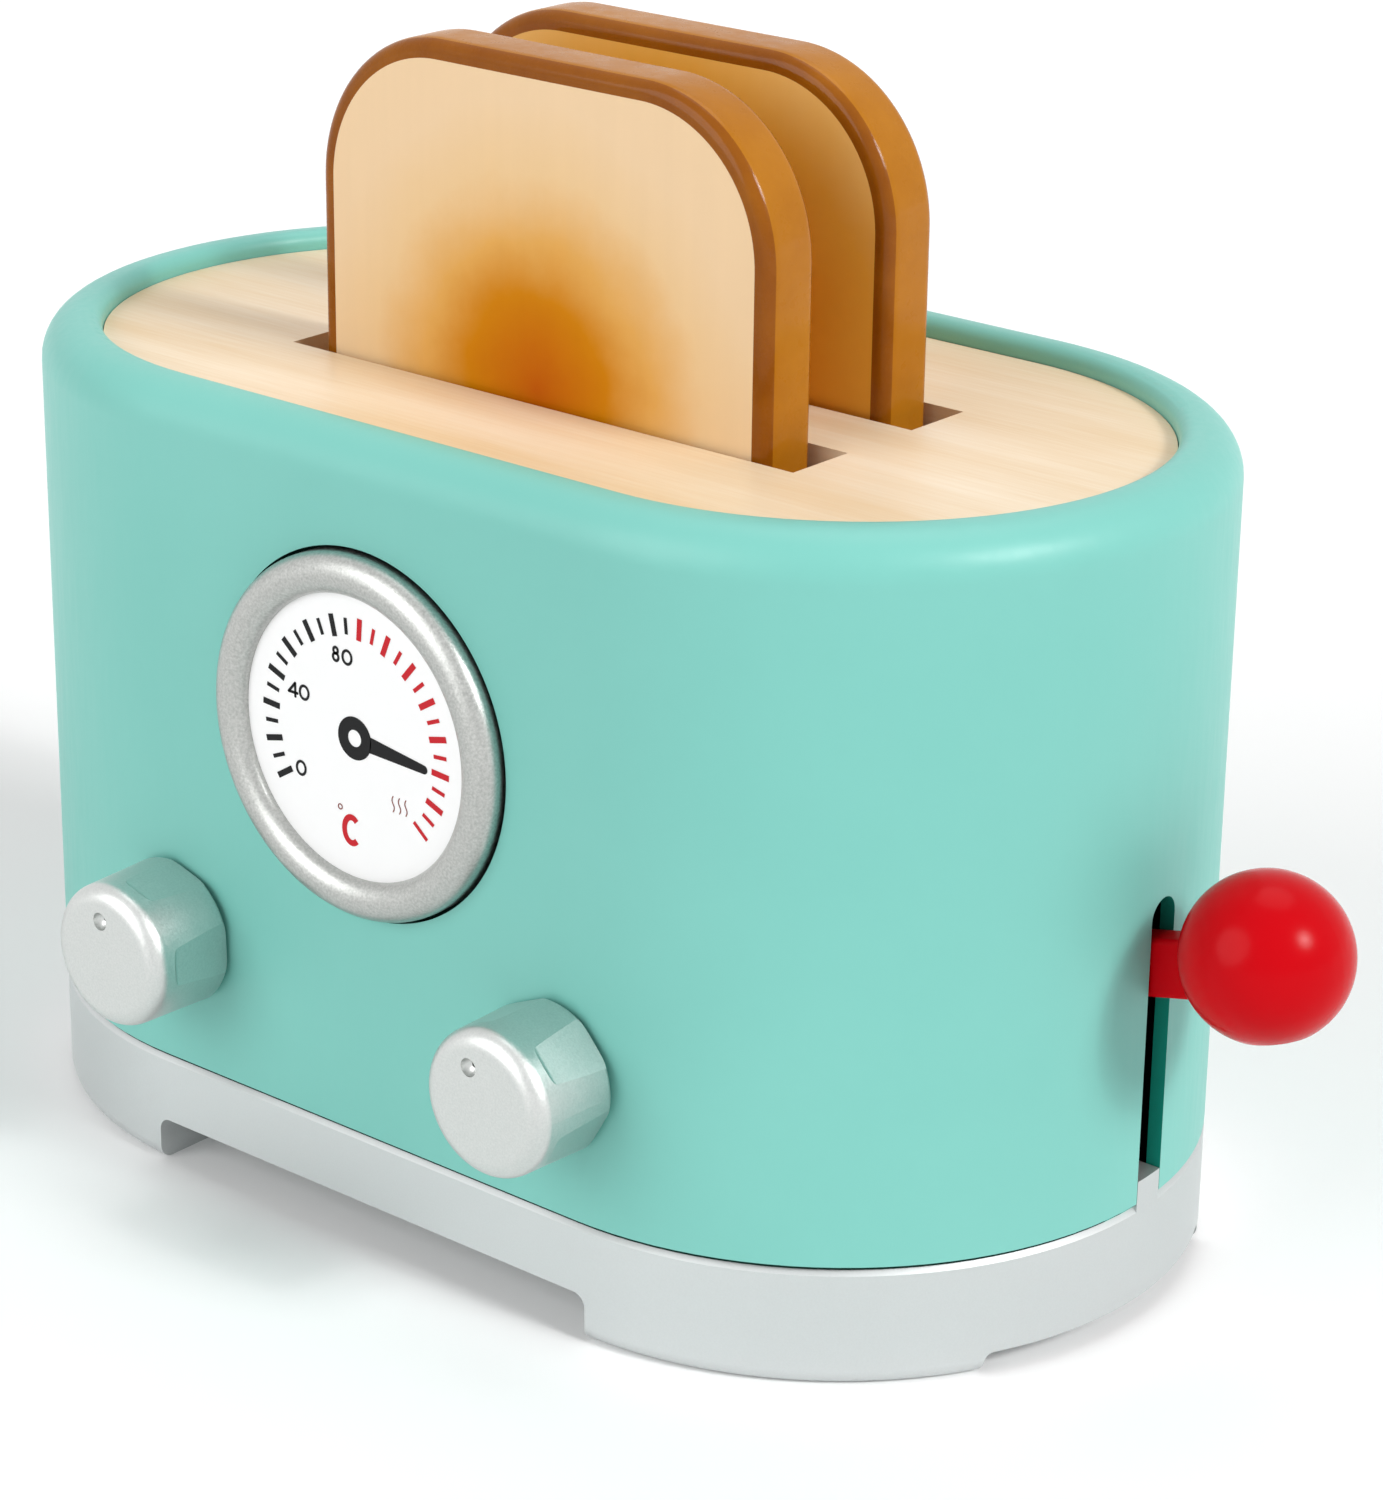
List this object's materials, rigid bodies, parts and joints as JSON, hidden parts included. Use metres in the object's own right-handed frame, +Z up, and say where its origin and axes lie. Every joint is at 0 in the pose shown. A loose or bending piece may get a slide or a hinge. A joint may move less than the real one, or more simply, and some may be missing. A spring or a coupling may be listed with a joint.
{
  "type": "toy toaster",
  "caption": "Wooden pretend-play toaster: rounded casing on a footed base, lift-out bread slices, a sprung end lever, turning knobs and a round dial.",
  "frame": {"origin": "middle of the overall footprint on the plane the feet stand on", "axes": "+X towards the lever, -Y towards the dial, +Z up"},
  "size_m": [0.1952, 0.1112, 0.1485],
  "materials": {
    "mint_paint": "smooth satin paint on wood",
    "silver_paint": "pearly silver paint on wood",
    "natural_wood": "clear-lacquered pale wood",
    "toast": "lacquered wood with painted crust",
    "dial_print": "white print on thin board",
    "red_plastic": "gloss moulded plastic",
    "plywood": "bare plywood",
    "steel": "bright zinc-plated steel",
    "spring_steel": "plain spring wire",
    "nylon": "moulded nylon",
    "rubber": "matte rubber",
    "felt": "thin felt"
  },
  "bodies": {
    "root": {"base_plinth": "silver_paint", "casing": "mint_paint", "top_panel": "natural_wood", "base_screws": "steel", "dial_bezel": "silver_paint", "dial_disc": "dial_print", "front_guide_board": "plywood", "rear_guide_board": "plywood", "pivot_bracket": "steel", "pivot_pin": "steel", "bracket_screws": "steel", "carriage_bumpers": "rubber", "guide_rods": "steel", "return_springs": "spring_steel"},
    "lever": {"lever_handle": "red_plastic", "lever_bar": "steel", "lever_screws": "steel", "link_pin": "steel"},
    "carriage": {"lift_carriage": "nylon", "carriage_bushes": "nylon"},
    "front_slice": {"front_slice": "toast"},
    "rear_slice": {"rear_slice": "toast"},
    "left_knob": {"left_knob": "silver_paint", "left_knob_felt": "felt", "left_knob_axle": "steel", "left_knob_washer": "steel"},
    "right_knob": {"right_knob": "silver_paint", "right_knob_felt": "felt", "right_knob_axle": "steel", "right_knob_washer": "steel"}
  },
  "joints": [
    {"name": "lever_press", "type": "hinge", "parent": "root", "child": "lever", "pos_m": [-0.04265, 0.009, 0.0216], "axis": [0, 1, 0], "range_deg": [0, 11.3]},
    {"name": "carriage_drop", "type": "slide", "parent": "root", "child": "carriage", "axis": [0, 0, -1], "range_m": [0, 0.01653], "stiffness_N_per_m": 120, "springref_m": -0.02, "deforming": ["return_springs"]},
    {"name": "front_slice_lift", "type": "slide", "parent": "carriage", "child": "front_slice", "axis": [0, 0, 1], "range_m": [0, 0.06]},
    {"name": "rear_slice_lift", "type": "slide", "parent": "carriage", "child": "rear_slice", "axis": [0, 0, 1], "range_m": [0, 0.06]},
    {"name": "left_knob_turn", "type": "hinge", "parent": "root", "child": "left_knob", "pos_m": [-0.04515, -0.0424, 0.0351], "axis": [0, 1, 0], "continuous": true},
    {"name": "right_knob_turn", "type": "hinge", "parent": "root", "child": "right_knob", "pos_m": [0.01985, -0.0424, 0.0351], "axis": [0, 1, 0], "continuous": true}
  ],
  "couplings": [
    {"joint": "carriage_drop", "follows": "lever_press", "m_per_rad": 0.083306}
  ]
}
